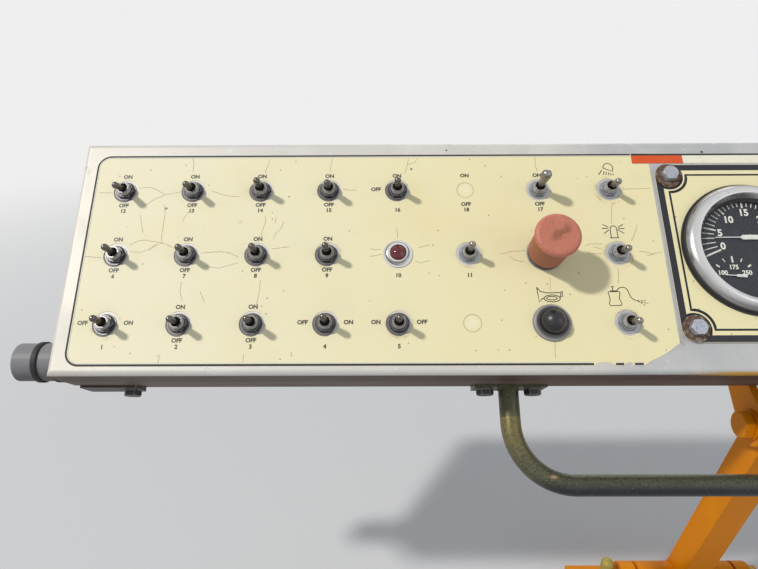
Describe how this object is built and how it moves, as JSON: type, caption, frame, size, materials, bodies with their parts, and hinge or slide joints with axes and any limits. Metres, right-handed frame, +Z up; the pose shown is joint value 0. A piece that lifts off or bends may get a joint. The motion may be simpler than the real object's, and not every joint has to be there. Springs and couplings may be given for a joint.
{
  "type": "asphalt paver operator's control console",
  "caption": "Long sloping switch console with lever switches, push buttons and gauges, a bent grab handle and a leaning hinged strut on a bolt-down foot.",
  "frame": {"origin": "centre of the foot plate's four bolt holes, on its underside", "axes": "+X along the box to the operator's right, +Y away from the operator, +Z up"},
  "size_m": [1.4594, 0.2209, 0.5898],
  "materials": {
    "aluminium": "bare sheet, scuffed, bright at the folded edge",
    "label": "cream printed label, finely crazed",
    "strip": "orange and white strip, blank",
    "washer": "zinc plated steel, rusting",
    "bolt": "plated steel, dull",
    "dark_bolt": "dark, dirty",
    "black_plastic": "moulded, dusty",
    "chrome": "chromed, lightly pitted",
    "dial": "printed dial",
    "needle": "white pointers",
    "glass": "clear",
    "plated_steel": "nickel plated, tarnished",
    "red_lens": "faceted lens",
    "stop_red": "sun faded red plastic",
    "black_rubber": "soft dome",
    "gunmetal": "worn olive grey over yellow",
    "grey_paint": "worn grey",
    "yellow_paint": "machine yellow, dusty"
  },
  "bodies": {
    "foot": {"foot_bracket": "yellow_paint", "hinge_pin": "plated_steel"},
    "strut": {"strut": "yellow_paint"},
    "console": {"face_pan": "aluminium", "tray": "aluminium", "label_left": "label", "label_right": "label", "gauge_plate": "label", "header_strip": "strip", "plate_washers": "washer", "plate_bolts": "bolt", "gauge_case": "black_plastic", "meter_case": "black_plastic", "tube_bands": "black_plastic", "horn_collars": "black_plastic", "gauge_bezel": "chrome", "lamp_rings": "chrome", "gauge_dial": "dial", "meter_face": "dial", "gauge_needles": "needle", "gauge_glass": "glass", "meter_glass": "glass", "key_switch": "plated_steel", "toggle_washers": "plated_steel", "toggle_nuts": "plated_steel", "toggle_bushings": "plated_steel", "toggle_levers": "plated_steel", "stop_collars": "plated_steel", "lamp_lenses": "red_lens", "stop_caps": "stop_red", "horn_domes": "black_rubber", "handle_bar": "gunmetal", "handle_flanges": "gunmetal", "handle_bolts": "dark_bolt", "end_plates": "dark_bolt", "end_bolts": "dark_bolt", "end_tubes": "grey_paint", "lug_fork": "yellow_paint", "fork_bolts": "yellow_paint", "upper_bolt": "yellow_paint"}
  },
  "joints": [
    {"name": "strut_lean", "type": "hinge", "parent": "foot", "child": "strut", "pos_m": [0, 0, 0.045], "axis": [1, 0, 0], "range_deg": [-25, 20]},
    {"name": "console_tilt", "type": "hinge", "parent": "strut", "child": "console", "pos_m": [0, -0.078, 0.333], "axis": [1, 0, 0], "range_deg": [-20, 20]}
  ]
}
